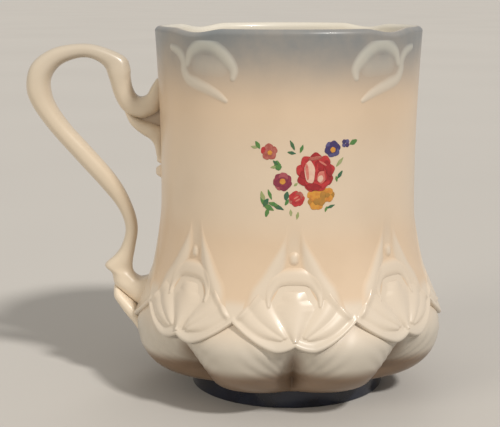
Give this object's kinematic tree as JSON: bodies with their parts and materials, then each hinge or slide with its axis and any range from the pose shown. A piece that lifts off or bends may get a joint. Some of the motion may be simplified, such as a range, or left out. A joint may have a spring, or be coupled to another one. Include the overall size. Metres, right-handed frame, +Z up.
{
  "type": "mustache cup",
  "caption": "Tall moulded porcelain cup with a ledge under the rim that keeps a mustache dry, a scrolled handle and a lobed base.",
  "frame": {"origin": "on the cup's axis, at the plane on which the foot ring rests", "axes": "+Z up, -X through the handle, -Y through the painted side, +Y through the mustache guard and its sip opening"},
  "size_m": [0.1155, 0.0876, 0.1],
  "materials": {
    "white_glaze": "glossy glaze over white porcelain, airbrushed slate blue at the rim",
    "blue_glaze": "glossy dark slate blue glaze",
    "handle_glaze": "glossy glaze with a pale blue tint on top",
    "red_enamel": "fired on-glaze transfer",
    "mauve_enamel": "fired on-glaze transfer",
    "navy_enamel": "fired on-glaze transfer",
    "yellow_enamel": "fired on-glaze transfer",
    "green_enamel": "fired on-glaze transfer"
  },
  "bodies": {
    "root": {"cup_body": "white_glaze", "foot_ring": "blue_glaze", "mustache_guard": "white_glaze", "handle": "handle_glaze", "heel_shell": "white_glaze", "tail_leaf": "handle_glaze", "rim_scroll_1": "handle_glaze", "rim_scroll_2": "handle_glaze", "rim_scroll_3": "handle_glaze", "rim_scroll_4": "handle_glaze", "pendant_1": "white_glaze", "pendant_2": "white_glaze", "pendant_3": "white_glaze", "pendant_4": "white_glaze", "pendant_5": "white_glaze", "pendant_6": "white_glaze", "pendant_7": "white_glaze", "rib_pair_1": "white_glaze", "rib_pair_2": "white_glaze", "rib_pair_3": "white_glaze", "rib_pair_4": "white_glaze", "rib_pair_5": "white_glaze", "rib_pair_6": "white_glaze", "rib_pair_7": "white_glaze", "rib_pair_8": "white_glaze", "painted_rose": "red_enamel", "painted_red_flowers": "red_enamel", "painted_mauve_flower": "mauve_enamel", "painted_blue_flowers": "navy_enamel", "painted_yellow_flowers": "yellow_enamel", "painted_leaves": "green_enamel"}
  },
  "joints": []
}
